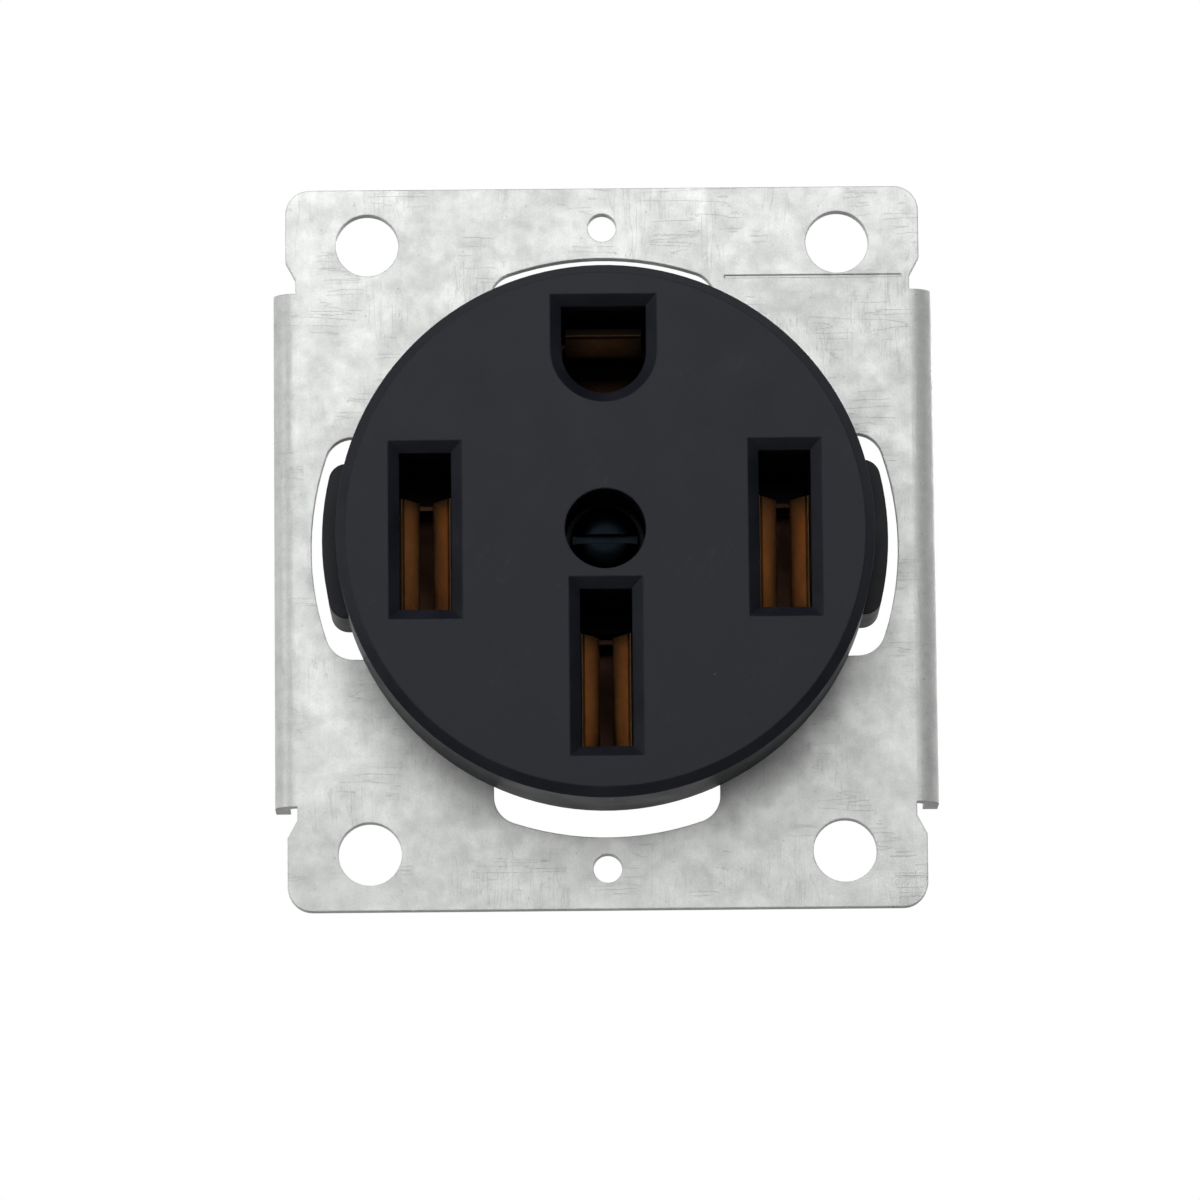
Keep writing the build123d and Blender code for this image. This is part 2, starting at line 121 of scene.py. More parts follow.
def remap(tree, value, low, high, new_low=0.0, new_high=1.0):
    """Stretch a mask so that low to high becomes new_low to new_high."""
    limits = {"From Min": low, "From Max": high, "To Min": new_low, "To Max": new_high}
    return add(tree, "MapRange", {"Value": value, **limits}).outputs["Result"]


def weighted_sum(tree, *parts):
    """Add masks up, each with its own weight."""
    total = 0.0
    for mask, weight in parts:
        total = math_node(tree, "ADD", total, math_node(tree, "MULTIPLY", mask, weight))
    return total


def blend_colours(tree, mask, first, second):
    """Mix two colours: the first where the mask is 0, the second where it is 1."""
    made = add(tree, "Mix", data_type="RGBA")
    for index, value in ((MIX_FACTOR, mask), (MIX_FIRST, first), (MIX_SECOND, second)):
        feed(tree, made.inputs[index], value)
    return made.outputs[MIX_RESULT]


def tint(tree, base, colour, mask, share):
    """Lay a colour over a base where a mask is, at a share of full strength."""
    return blend_colours(tree, math_node(tree, "MULTIPLY", mask, share), base, colour)


def paler(colour, factor, lift=0.0):
    """A colour made paler by a factor and a lift, kept within 1."""
    return tuple(min(1.0, factor * channel + lift) for channel in colour[:3]) + (1.0,)


# %% [markdown]
# No moulded or stamped edge is truly sharp. The solids carry the large radii, and the last tenth of
# a millimetre is cheaper in the shader: the Bevel node bends the normal near an edge as if it were
# rounded. Where that bent normal differs from the true one there is an edge, which gives a
# mask for wear at no extra cost.

# %% Group: rounded edges
tree, start, end = start_group(
    "rounded_edges",
    {"Radius": ("Float", 0.0002), "Gain": ("Float", 3.0)},
    {"Normal": "Vector", "Edge": "Float"},
)
bevel = add(tree, "Bevel", {"Radius": start.outputs["Radius"]}, samples=6)
true_normal = add(tree, "NewGeometry")
normals = {0: bevel.outputs[0], 1: true_normal.outputs["Normal"]}
agreement = add(tree, "VectorMath", normals, operation="DOT_PRODUCT")
tilt = math_node(tree, "SUBTRACT", 1.0, agreement.outputs["Value"])
edge = math_node(tree, "MULTIPLY", tilt, start.outputs["Gain"], clamp=True)
rounded_edges = finish_group(tree, end, Normal=bevel.outputs[0], Edge=edge)

# %% [markdown]
# Plastic leaves a spark-eroded mould with a fine even grain, and sheet metal has one as well from
# the rolls. Both are noise in three dimensions, read at the object's own coordinates, so the grain
# has a real size and doesn't stretch on curved or sloping faces. The group also gives out the same
# noise at a coarser size, for soft clouds of colour and gloss.

# %% Group: grain
CLOUD_SIZE = 14.0

tree, start, end = start_group(
    "grain",
    {"Size": ("Float", 0.0004), "Stretch": ("Vector", (1.0, 1.0, 1.0))},
    {"Height": "Float", "Cloud": "Float"},
)
stretch = {0: object_point(tree), 1: start.outputs["Stretch"]}
stretched = add(tree, "VectorMath", stretch, operation="MULTIPLY").outputs[0]
per_metre = math_node(tree, "DIVIDE", 1.0, start.outputs["Size"])
clouds_per_metre = math_node(tree, "DIVIDE", per_metre, CLOUD_SIZE)
fine = add(
    tree, "TexNoise", {"Vector": stretched, "Scale": per_metre, "Detail": 4.0, "Roughness": 0.6}
)
cloud = add(
    tree, "TexNoise",
    {"Vector": stretched, "Scale": clouds_per_metre, "Detail": 5.0, "Roughness": 0.55},
)
grain = finish_group(tree, end, Height=fine.outputs["Fac"], Cloud=cloud.outputs["Fac"])

# %% [markdown]
# Specks are what a hot-dipped or handled surface collects: tiny pits, dross and dust. A Voronoi
# texture drops one point in each cell. Its distance gives round spots, and the cell's own random
# colour decides which cells have a spot at all, so the spots don't look like a grid.

# %% Group: specks
tree, start, end = start_group(
    "specks",
    {"Spacing": ("Float", 0.002), "Share": ("Float", 0.4), "Spot": ("Float", 0.12)},
    {"Mask": "Float"},
)
per_metre = math_node(tree, "DIVIDE", 1.0, start.outputs["Spacing"])
cells = add(tree, "TexVoronoi", {"Vector": object_point(tree), "Scale": per_metre})
chance = add(tree, "SeparateColor", {"Color": cells.outputs["Color"]})
chosen = math_node(tree, "LESS_THAN", chance.outputs[0], start.outputs["Share"])
spot_size = math_node(tree, "MULTIPLY", start.outputs["Spot"], chance.outputs[1])
inside = math_node(tree, "LESS_THAN", cells.outputs["Distance"], spot_size)
specks = finish_group(tree, end, Mask=math_node(tree, "MULTIPLY", chosen, inside))

# %% [markdown]
# Handling leaves hair-thin scratches in all directions on sheet metal and on a glossy moulding. One
# layer of them is a noise field read along a line of equal height: where the noise crosses a
# chosen value the mask is a thin curved line. Squeezing the noise along one axis makes the lines
# long and nearly straight, and a second, coarser noise keeps them in patches.

# %% Group: scratches
SQUEEZE = (1.0, 1.0, 14.0)
MIDDLE_LEVEL = 0.5
PATCHES_PER_METRE = 160.0
PATCH_LEVEL = 0.56

tree, start, end = start_group(
    "scratches",
    {"Length": ("Float", 0.02), "Turn": ("Float", 0.6), "Width": ("Float", 0.004)},
    {"Mask": "Float"},
)
turn = {"Vector": object_point(tree), "Angle": start.outputs["Turn"]}
turned_point = add(tree, "VectorRotate", turn, rotation_type="Y_AXIS").outputs[0]
squeezed = add(tree, "VectorMath", {0: turned_point, 1: SQUEEZE}, operation="MULTIPLY").outputs[0]
per_metre = math_node(tree, "DIVIDE", 1.0, start.outputs["Length"])
field = add(
    tree, "TexNoise", {"Vector": squeezed, "Scale": per_metre, "Detail": 2.0, "Distortion": 0.3}
)
above = math_node(tree, "SUBTRACT", field.outputs["Fac"], MIDDLE_LEVEL)
line = math_node(tree, "LESS_THAN", math_node(tree, "ABSOLUTE", above), start.outputs["Width"])
patches = add(tree, "TexNoise", {"Vector": turned_point, "Scale": PATCHES_PER_METRE, "Detail": 1.0})
kept = math_node(tree, "GREATER_THAN", patches.outputs["Fac"], PATCH_LEVEL)
scratches = finish_group(tree, end, Mask=math_node(tree, "MULTIPLY", line, kept))

# %% [markdown]
# What lies deep in a slot or a hole gets little light. The Ambient Occlusion node measures how much of
# the surroundings a point can see within a given reach. Turned into a mask, it paints that shade
# into a finish's colour: the deeper a point sits, the darker it is painted.

# %% Group: painted shade
tree, start, end = start_group(
    "painted_shade",
    {"Reach": ("Float", 0.01), "Deep": ("Float", 0.1), "Open": ("Float", 0.6)},
    {"Mask": "Float"},
)
around = add(tree, "AmbientOcclusion", {"Distance": start.outputs["Reach"]}, samples=8)
open_share = remap(tree, around.outputs["AO"], start.outputs["Deep"], start.outputs["Open"])
painted_shade = finish_group(tree, end, Mask=math_node(tree, "SUBTRACT", 1.0, open_share))

# %% [markdown]
# The contacts get light only at their flared tips. Further in they sit in shade, which is painted
# into their colour as dark brown. A band along the depth of the object, from its own coordinates,
# marks that part, with soft ends so that no line shows.

# %% Group: depth band
tree, start, end = start_group(
    "depth_band",
    {"Front": ("Float", 0.0), "Back": ("Float", 0.01), "Soft": ("Float", 0.001)},
    {"Mask": "Float"},
)
depth = add(tree, "SeparateXYZ", {"Vector": object_point(tree)}).outputs["Y"]
past_front = math_node(tree, "SUBTRACT", depth, start.outputs["Front"])
before_back = math_node(tree, "SUBTRACT", start.outputs["Back"], depth)
nearest_end = math_node(tree, "MINIMUM", past_front, before_back)
inside_band = math_node(tree, "DIVIDE", nearest_end, start.outputs["Soft"], clamp=True)
depth_band = finish_group(tree, end, Mask=inside_band)

# %% [markdown]
# A material starts from the Principled shader, with the constants set on its own sockets. The
# helpers below make it and feed it, so that each finish only adds what makes it different.

# %% Helpers for materials
def start_material(name, **sockets):
    """A material with one Principled shader whose sockets have these values."""
    made = bpy.data.materials.new(name)
    made.use_nodes = True
    tree = made.node_tree
    shader = tree.nodes["Principled BSDF"]
    for label, value in sockets.items():
        shader.inputs[label.replace("_", " ")].default_value = value
    return made, tree, shader


def colour_and_gloss(tree, shader, colour, roughness):
    """Feed a shader its colour and its roughness."""
    tree.links.new(colour, shader.inputs["Base Color"])
    tree.links.new(roughness, shader.inputs["Roughness"])


def bump(tree, shader, height, distance, normal):
    """Raise the surface by a height field, on top of a bent normal."""
    made = add(tree, "Bump", {"Strength": 1.0, "Height": height, "Distance": distance, "Normal": normal})
    tree.links.new(made.outputs[0], shader.inputs["Normal"])


# %% [markdown]
# The moulding is a black thermoplastic with a blue cast, neither matt nor glossy. Its colour is
# almost constant, so the eye reads it by its grain, by slightly uneven gloss and by the lighter
# line that its edges catch.

# %% Material: black moulding
PAINTED_SHADE_BLACK = (0.001, 0.001, 0.0012, 1.0)
WORN_EDGE = (0.07, 0.073, 0.08, 1.0)
DUST = (0.2, 0.2, 0.2, 1.0)


def black_moulding(name, colour, roughness, grain_size, grain_depth):
    """Black plastic with a fine grain, pale at worn edges and with painted shade in its openings."""
    made, tree, shader = start_material(name, IOR=1.47, Specular_IOR_Level=0.22)
    edges = place(tree, rounded_edges, Radius=0.00022, Gain=1.6)
    texture = place(tree, grain, Size=grain_size)
    dust = place(tree, specks, Spacing=0.0021, Share=0.16, Spot=0.07)
    marks = place(tree, scratches, Length=0.018, Turn=0.9, Width=0.003)
    painted_shade_in_hollows = place(tree, painted_shade, Reach=0.012, Deep=0.3, Open=0.75)
    cloud = texture.outputs["Cloud"]
    toned = blend_colours(tree, remap(tree, cloud, 0.35, 0.65), colour, paler(colour, 1.35, 0.004))
    toned = tint(tree, toned, WORN_EDGE, edges.outputs["Edge"], 0.25)
    toned = tint(tree, toned, DUST, dust.outputs["Mask"], 0.35)
    # Painted shade: the colour goes to near black where the surface sits deep in an opening.
    toned = blend_colours(tree, painted_shade_in_hollows.outputs["Mask"], toned, PAINTED_SHADE_BLACK)
    uneven = remap(tree, cloud, 0.3, 0.7, roughness - 0.05, roughness + 0.06)
    shine = math_node(tree, "MULTIPLY", marks.outputs["Mask"], 0.08)
    colour_and_gloss(tree, shader, toned, math_node(tree, "SUBTRACT", uneven, shine))
    bump(tree, shader, texture.outputs["Height"], grain_depth, edges.outputs["Normal"])
    return made


cover_black = black_moulding("cover_black", (0.0078, 0.0092, 0.0142, 1.0), 0.47, 0.00032, 0.000012)
housing_black = black_moulding("housing_black", (0.014, 0.0145, 0.016, 1.0), 0.5, 0.0005, 0.00002)
print("made", cover_black.name, "and", housing_black.name)

# %% [markdown]
# The strap is steel dipped in zinc and rolled. It is pale and nearly white under a soft light,
# clouded in patches of a few millimetres, with small dark pits, faint lines along the rolling
# direction and fine scratches from handling. The stamped edges show bare, slightly darker metal.
# This one is painted darker towards its lower edge, as shade.

# %% Material: zinc sheet
PIT_AND_SHADE_ZINC = (0.3, 0.31, 0.31, 1.0)
ROLL_LINE = (0.45, 0.46, 0.46, 1.0)
SCRATCHED_ZINC = (0.42, 0.43, 0.43, 1.0)
CUT_EDGE = (0.4, 0.41, 0.42, 1.0)
BOTTOM_SHADE_STARTS, BOTTOM_SHADE_FULL = -0.018, -0.033


def zinc_sheet(name, pale, dull, metallic, roughness, bottom_shade_share=0.0):
    """Rolled and zinc-coated steel, clouded between a pale and a dull grey, with painted shade near walls
    and towards its lower edge.
    """
    made, tree, shader = start_material(name, Metallic=metallic, IOR=1.6)
    edges = place(tree, rounded_edges, Radius=0.00018, Gain=2.4)
    mottle = place(tree, grain, Size=0.00022)
    blotches = place(tree, grain, Size=0.000085)
    rolled = place(tree, grain, Size=0.00022, Stretch=(1.0, 1.0, 0.035))
    pits = place(tree, specks, Spacing=0.0011, Share=0.22, Spot=0.16)
    marks = place(tree, scratches, Length=0.014, Turn=0.0, Width=0.005)
    cross_marks = place(tree, scratches, Length=0.012, Turn=math.radians(90), Width=0.004)
    all_marks = math_node(tree, "MAXIMUM", marks.outputs["Mask"], cross_marks.outputs["Mask"])
    painted_shade_near_walls = place(tree, painted_shade, Reach=0.007, Deep=0.3, Open=0.9)
    # Painted shade: the colour is darkened towards the strap's lower edge, as if less light fell there.
    height_above_middle = add(tree, "SeparateXYZ", {"Vector": object_point(tree)}).outputs["Z"]
    painted_bottom_shade = remap(tree, height_above_middle, BOTTOM_SHADE_FULL, BOTTOM_SHADE_STARTS, bottom_shade_share, 0.0)
    clouded = weighted_sum(
        tree,
        (remap(tree, mottle.outputs["Cloud"], 0.36, 0.66), 0.2),
        (remap(tree, mottle.outputs["Height"], 0.3, 0.7), 0.4),
        (remap(tree, blotches.outputs["Cloud"], 0.35, 0.65), 0.4),
    )
    lines = remap(tree, rolled.outputs["Height"], 0.5, 0.75)
    toned = blend_colours(tree, clouded, pale, dull)
    toned = blend_colours(tree, painted_bottom_shade, toned, PIT_AND_SHADE_ZINC)
    # Painted shade: the zinc is darkened where the cover's walls stand close over it. The same dark grey
    # also colours the real pits below.
    toned = tint(tree, toned, PIT_AND_SHADE_ZINC, painted_shade_near_walls.outputs["Mask"], 0.1)
    toned = tint(tree, toned, ROLL_LINE, lines, 0.1)
    toned = tint(tree, toned, PIT_AND_SHADE_ZINC, pits.outputs["Mask"], 0.35)
    toned = tint(tree, toned, SCRATCHED_ZINC, all_marks, 0.3)
    toned = tint(tree, toned, CUT_EDGE, edges.outputs["Edge"], 0.35)
    uneven = remap(tree, mottle.outputs["Cloud"], 0.3, 0.7, roughness - 0.06, roughness + 0.09)
    colour_and_gloss(tree, shader, toned, uneven)
    relief = weighted_sum(
        tree, (mottle.outputs["Height"], 1.0), (rolled.outputs["Height"], 1.0), (all_marks, -0.7)
    )
    bump(tree, shader, relief, 0.000012, edges.outputs["Normal"])
    return made


strap_zinc = zinc_sheet("strap_zinc", (0.83, 0.84, 0.815, 1.0), (0.59, 0.61, 0.6, 1.0), 0.35, 0.45, 0.17)
plated_steel = zinc_sheet("plated_steel", (0.68, 0.69, 0.7, 1.0), (0.55, 0.56, 0.57, 1.0), 0.95, 0.3)
print("made", strap_zinc.name, "and", plated_steel.name)

# %% [markdown]
# The contacts are folded from rolled bronze strip. The metal is a warm orange, brighter along the
# folds where it was drawn over the tool, with fine lines along the strip and a brown tarnish in
# soft patches.

# %% Material: strip metal
SHADE_AND_CUT_END_BROWN = (0.03, 0.015, 0.01, 1.0)


def strip_metal(name, bright, tarnish, tarnish_share, roughness):
    """Folded strip, tarnished in patches, with painted shade in its hollows and further in than its tips.
    """
    made, tree, shader = start_material(name, Metallic=1.0)
    edges = place(tree, rounded_edges, Radius=0.00012, Gain=2.0)
    drawn = place(tree, grain, Size=0.0002, Stretch=(1.0, 0.05, 1.0))
    stain = place(tree, grain, Size=0.0004)
    painted_shade_in_hollows = place(tree, painted_shade, Reach=0.012, Deep=0.02, Open=0.2)
    painted_shade_further_in = place(tree, depth_band, Front=-0.0038, Back=0.009, Soft=0.001)
    cut_ends = place(tree, depth_band, Front=-0.009, Back=-0.0067, Soft=0.0001)
    stained = remap(tree, stain.outputs["Cloud"], 0.42, 0.66)
    toned = tint(tree, bright, tarnish, stained, tarnish_share)
    toned = tint(tree, toned, paler(bright, 1.12), edges.outputs["Edge"], 0.2)
    dark_ends = math_node(tree, "MULTIPLY", cut_ends.outputs["Mask"], 0.8)
    # Painted shade: deep in hollows and further in than the flared tips, the colour goes to dark brown.
    # The same brown darkens the cut ends.
    dark = math_node(tree, "MAXIMUM", painted_shade_in_hollows.outputs["Mask"], painted_shade_further_in.outputs["Mask"])
    toned = blend_colours(tree, math_node(tree, "MAXIMUM", dark, dark_ends), toned, SHADE_AND_CUT_END_BROWN)
    uneven = remap(tree, stain.outputs["Cloud"], 0.35, 0.65, roughness - 0.06, roughness + 0.12)
    colour_and_gloss(tree, shader, toned, uneven)
    bump(tree, shader, drawn.outputs["Height"], 0.000006, edges.outputs["Normal"])
    return made


contact_bronze = strip_metal("contact_bronze", (0.72, 0.48, 0.26, 1.0), (0.55, 0.31, 0.14, 1.0), 0.75, 0.4)
# The earth contact's bronze is a darker copy of the contacts' bronze: painted shade for its deeper, darker
# opening.
shaded_earth_bronze = strip_metal("shaded_earth_bronze", (0.32, 0.22, 0.14, 1.0), (0.16, 0.1, 0.06, 1.0), 0.8, 0.42)
clamp_brass = strip_metal("clamp_brass", (0.83, 0.64, 0.3, 1.0), (0.55, 0.38, 0.16, 1.0), 0.5, 0.3)
spring_steel = strip_metal("spring_steel", (0.42, 0.43, 0.46, 1.0), (0.2, 0.2, 0.23, 1.0), 0.6, 0.35)
print("made", contact_bronze.name, shaded_earth_bronze.name, clamp_brass.name, spring_steel.name)

# %% [markdown]
# Screws are plated after they are cut, so their colour is even and their flats shine. The earth
# screw is dyed green, as is usual, which shows where the earth conductor goes.

# %% Material: plated screw
def plated_screw(name, colour, roughness):
    """Plated and turned metal, paler where its edges are rubbed."""
    made, tree, shader = start_material(name, Metallic=1.0)
    edges = place(tree, rounded_edges, Radius=0.0001, Gain=2.6)
    cut = place(tree, grain, Size=0.00018)
    worn = paler(colour, 1.3)
    toned = tint(tree, colour, worn, remap(tree, cut.outputs["Cloud"], 0.4, 0.65), 0.3)
    toned = tint(tree, toned, worn, edges.outputs["Edge"], 0.6)
    uneven = remap(tree, cut.outputs["Cloud"], 0.3, 0.7, roughness - 0.05, roughness + 0.08)
    colour_and_gloss(tree, shader, toned, uneven)
    bump(tree, shader, cut.outputs["Height"], 0.000005, edges.outputs["Normal"])
    return made


screw_zinc = plated_screw("screw_zinc", (0.72, 0.73, 0.74, 1.0), 0.26)
screw_brass = plated_screw("screw_brass", (0.8, 0.6, 0.28, 1.0), 0.26)
screw_green = plated_screw("screw_green", (0.05, 0.32, 0.12, 1.0), 0.3)
# Painted shade: the centre screw is near black to stand for the shade deep in its hole.
screw_shaded_black = plated_screw("screw_shaded_black", (0.003, 0.0045, 0.006, 1.0), 0.3)

# %% [markdown]
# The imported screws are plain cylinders. Here they get real threads and rounded heads. A thread is a
# tube of rings whose radius rises and falls along the axis, and each step round the ring shifts
# that pattern by a part of the pitch, so the ridge climbs as a helix. The screw is made along
# its own Z, with the driven end at zero, and a matrix then lays it where the solid one is.

# %% Helpers: rings of a turned body
CREST_FLAT = 0.45


def add_rings(mesh_data, rings, segments):
    """Join rings into a closed tube. A ring is a function from an angle to a radius and a height."""
    rows = []
    for ring in rings:
        row = []
        for step in range(segments):
            angle = 2 * math.pi * step / segments
            radius, height = ring(angle)
            row.append(mesh_data.verts.new((radius * math.cos(angle), radius * math.sin(angle), height)))
        rows.append(row)
    for lower, upper in zip(rows, rows[1:]):
        for step in range(segments):
            after = (step + 1) % segments
            mesh_data.faces.new((lower[step], upper[step], upper[after], lower[after]))
    mesh_data.faces.new(rows[0])
    mesh_data.faces.new(list(reversed(rows[-1])))


def turned(profile):
    """Rings of a plain turned body from its radii and heights."""
    return [lambda angle, radius=radius, height=height: (radius, height) for radius, height in profile]


def threaded(outer, depth, pitch, top, bottom, rows_per_turn=6):
    """Rings of a helical ridge from top down to bottom, run out to the root at both ends."""
    count = max(2, round((top - bottom) / pitch * rows_per_turn))
    rings = []
    for index in range(count + 1):
        height = top + (bottom - top) * index / count
        run_out = min(1.0, (top - height) / pitch, (height - bottom) / pitch)

        def ring(angle, height=height, run_out=run_out):
            phase = (height / pitch - angle / (2 * math.pi)) % 1.0
            crest = min(1.0, max(0.0, 1.0 + CREST_FLAT - abs(4 * phase - 2)))
            return outer - depth + depth * crest * run_out, height

        rings.append(ring)
    return rings


# %% [markdown]
# The slot is sawn across the head with a Boolean modifier. The modifier is evaluated once and the
# result kept as plain mesh, so the saw blade doesn't stay in the scene. Faces are shaded smooth,
# except where they meet at a sharp angle.

# %% Helpers: a slotted, threaded screw
SHARP_ANGLE = math.radians(40)


def saw_slot(mesh, width, depth, reach):
    """Cut a slot across the top of a mesh along its X axis."""
    body = bpy.data.objects.new("body", mesh)
    blade_mesh = bpy.data.meshes.new("blade")
    blade_shape = bmesh.new()
    bmesh.ops.create_cube(blade_shape, size=1.0)
    bmesh.ops.scale(blade_shape, vec=(2 * reach, width, 2 * depth), verts=blade_shape.verts)
    blade_shape.to_mesh(blade_mesh)
    blade_shape.free()
    blade = bpy.data.objects.new("blade", blade_mesh)
    for item in (body, blade):
        bpy.context.scene.collection.objects.link(item)
    cut = body.modifiers.new("slot", "BOOLEAN")
    cut.operation = "DIFFERENCE"
    cut.solver = "EXACT"
    cut.object = blade
    result = bpy.data.meshes.new_from_object(body.evaluated_get(bpy.context.evaluated_depsgraph_get()))
    for item in (body, blade):
        bpy.data.objects.remove(item)
    return result


def screw_mesh(name, shank, head, slot, segments):
    """One screw along Z. The shank is a list of rings, and so is the head, which may be empty."""
    shape = bmesh.new()
    add_rings(shape, head or shank, segments)
    solid = bpy.data.meshes.new(name)
    shape.to_mesh(solid)
    shape.free()
    slotted = saw_slot(solid, *slot)
    whole = bmesh.new()
    whole.from_mesh(slotted)
    if head:
        add_rings(whole, shank, segments)
    bmesh.ops.recalc_face_normals(whole, faces=whole.faces)
    for face in whole.faces:
        face.smooth = True
    for seam in whole.edges:
        seam.smooth = len(seam.link_faces) == 2 and seam.calc_face_angle(0.0) < SHARP_ANGLE
    whole.to_mesh(slotted)
    whole.free()
    return slotted


def standing(slot_way, outward, end_centre):
    """The matrix that takes a screw from its own Z axis to where the solid one stands."""
    matrix = Matrix((slot_way, outward.cross(slot_way), outward)).transposed().to_4x4()
    matrix.translation = end_centre
    return matrix


def show_instead(name, mesh, finish, node):
    """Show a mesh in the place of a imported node."""
    mesh.materials.clear()
    mesh.materials.append(finish)
    piece = bpy.data.objects.new(name, mesh)
    bpy.context.scene.collection.objects.link(piece)
    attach(piece, "root")
    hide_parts(node)
    print(name, "has", len(mesh.polygons), "faces")


# %% [markdown]
# A pressure screw has no head: it is a threaded pin with a slot in its outer end. Its length and
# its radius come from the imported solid's own box, and the crests stay a hair inside it.

# %% Pressure screws
ACROSS_AXIS = Vector((1.0, 0.0, 0.0))
DEPTH_AXIS = Vector((0.0, 1.0, 0.0))
UP_AXIS = Vector((0.0, 0.0, 1.0))
pressure_pitch = 0.00095
pressure_thread_depth = 0.0004
crest_gap = 0.00002
slot_width, slot_depth = 0.0012, 0.0014
end_face_step, end_bevel_height, thread_start = 0.0007, 0.00025, 0.0003
point_step = 0.0009
pressure_screws = {
    "line_screw_right": (ACROSS_AXIS, screw_brass, "brass_screw"),
    "line_screw_left": (-ACROSS_AXIS, screw_brass, "brass_screw"),
    "neutral_screw": (-UP_AXIS, screw_zinc, "plated_steel"),
    "ground_screw": (UP_AXIS, screw_green, "green_steel"),
}
for node, (outward, finish, slot_name) in pressure_screws.items():
    low, high = (Vector(corner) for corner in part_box(node))
    length = abs((high - low).dot(outward))
    radius = (high.y - low.y) / 2
    shank = turned([
        (radius - end_face_step, 0.0), (radius - pressure_thread_depth, -end_bevel_height),
    ])
    shank += threaded(
        radius - crest_gap, pressure_thread_depth, pressure_pitch,
        -thread_start, pressure_thread_depth - length,
    )
    shank += turned([(radius - point_step, -length)])
    mesh = screw_mesh(node + "_thread", shank, [], (slot_width, slot_depth, 2 * radius), 48)
    mesh.transform(standing(DEPTH_AXIS, outward, (low + high) / 2 + outward * length / 2))
    show_instead(node + "_threaded", mesh, finish, node)

# %% [markdown]
# The four assembly screws are one node, so they become one piece: the same screw is copied to the
# four places that the solid screws have. The centre screw is longer, with a taller head that
# sits deep in the face, and its thread shows only past the nut.

# %% Assembly screws and centre screw
# Shares of the head's radius and of its height, from the middle of the dome to its underside
DOME = ((0.3, 0.0), (0.62, 0.03), (0.82, 0.14), (0.94, 0.34), (1.0, 0.62), (1.0, 1.0))
# The shank starts a hair inside the head, at this share of the head's height
SHANK_START = 0.98
THREAD_DEPTH = 0.0003
POINT_LENGTH, POINT_SHARE = 0.0004, 0.6
THREAD_LENGTH = 0.006
HEAD_SLOT_WIDTH, HEAD_SLOT_DEPTH = 0.0009, 0.001


def headed_rings(head_radius, head_height, shank_radius, length, pitch):
    """A domed head and a shank that is threaded near its end."""
    head = turned([(head_radius * across, -head_height * down) for across, down in DOME])
    thread_top = THREAD_LENGTH - length
    shank = turned([(shank_radius, -head_height * SHANK_START), (shank_radius, thread_top)])
    shank += threaded(shank_radius, THREAD_DEPTH, pitch, thread_top, POINT_LENGTH - length)
    shank += turned([(POINT_SHARE * shank_radius, -length)])
    return head, shank


low, high = (Vector(corner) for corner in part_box("assembly_screws"))
head_radius, head_height, shank_radius, pitch = 0.0029, 0.002, 0.0014, 0.0011
head, shank = headed_rings(head_radius, head_height, shank_radius, high.y - low.y, pitch)
head_slot = (HEAD_SLOT_WIDTH, HEAD_SLOT_DEPTH, 2 * head_radius)
one_screw = screw_mesh("assembly_screw", shank, head, head_slot, 36)
four_screws = bmesh.new()
for x in (low.x + head_radius, high.x - head_radius):
    for z in (low.z + head_radius, high.z - head_radius):
        copy = one_screw.copy()
        copy.transform(standing(ACROSS_AXIS, DEPTH_AXIS, Vector((x, high.y, z))))
        four_screws.from_mesh(copy)
        bpy.data.meshes.remove(copy)
assembly_mesh = bpy.data.meshes.new("assembly_screws_thread")
four_screws.to_mesh(assembly_mesh)
four_screws.free()
show_instead("assembly_screws_threaded", assembly_mesh, screw_zinc, "assembly_screws")

low, high = (Vector(corner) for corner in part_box("centre_screw"))
head_radius, head_height, shank_radius, pitch = (high.x - low.x) / 2, 0.0026, 0.002, 0.0009
head, shank = headed_rings(head_radius, head_height, shank_radius, high.y - low.y, pitch)
head_slot = (HEAD_SLOT_WIDTH, HEAD_SLOT_DEPTH, 2 * head_radius)
centre_mesh = screw_mesh("centre_screw_thread", shank, head, head_slot, 48)
front_centre = Vector(((low.x + high.x) / 2, low.y, (low.z + high.z) / 2))
centre_mesh.transform(standing(ACROSS_AXIS, -DEPTH_AXIS, front_centre))
show_instead("centre_screw_threaded", centre_mesh, screw_shaded_black, "centre_screw")

# %% [markdown]
# Each imported node now gets the finish of the real piece, except that the centre screw and the earth
# contact are made darker, as painted shade. A node has one material slot, which is

# %% Dress the nodes
finishes = {
    "face_cover": cover_black,
    "rear_housing": housing_black,
    "mounting_strap": strap_zinc,
    "centre_screw": screw_shaded_black,
    "centre_nut": plated_steel,
    "assembly_screws": screw_zinc,
    "bonding_strip": clamp_brass,
    "neutral_clamp": plated_steel,
    "ground_clamp": plated_steel,
    "line_clamp_left": clamp_brass,
    "line_clamp_right": clamp_brass,
    "neutral_screw": screw_zinc,
    "ground_screw": screw_green,
    "line_screw_left": screw_brass,
    "line_screw_right": screw_brass,
}
for name in nodes:
    if "_contact" in name:
        finishes[name] = contact_bronze
    elif "_spring" in name:
        finishes[name] = spring_steel
finishes["ground_contact"] = shaded_earth_bronze
for name, finish in finishes.items():
    for material_slot in nodes[name].material_slots:
        material_slot.material = finish
print("dressed", len(finishes), "of", len(nodes), "nodes")

# %% [markdown]
# The picture was taken from a little below, almost straight on, with a long lens: the strap's top
# edge is only a little narrower than its bottom edge. The camera looks at a point just under the
# middle, because the object sits a little high in the picture, and it is rolled by half a
# degree.

